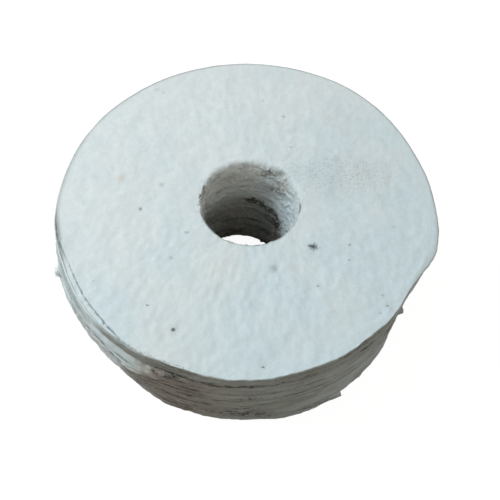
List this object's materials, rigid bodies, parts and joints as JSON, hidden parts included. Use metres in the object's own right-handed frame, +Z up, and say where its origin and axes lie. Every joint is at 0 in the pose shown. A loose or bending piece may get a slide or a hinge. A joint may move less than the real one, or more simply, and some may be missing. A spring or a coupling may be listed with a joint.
{
  "type": "felt polishing wheel",
  "caption": "Thick white laminated felt disc with a through bore, clamped on a spindle to polish stones.",
  "frame": {"origin": "under the middle of the stack's bounding box, in the plane of the face it lies on", "axes": "+Z up along the bore; +Y away from the viewer and +X to the viewer's right, as in the picture"},
  "size_m": [0.1046, 0.1026, 0.0377],
  "materials": {
    "felt": "matt white needle felt",
    "cured_glue": "dull dark cured contact glue"
  },
  "bodies": {
    "root": {"felt_ply_1": "felt", "felt_ply_2": "felt", "felt_ply_3": "felt", "felt_ply_4": "felt", "felt_ply_5": "felt", "felt_ply_6": "felt", "felt_ply_7": "felt", "glue_film_1": "cured_glue", "glue_film_2": "cured_glue", "glue_film_3": "cured_glue", "glue_film_4": "cured_glue", "glue_film_5": "cured_glue", "glue_film_6": "cured_glue"}
  },
  "joints": []
}
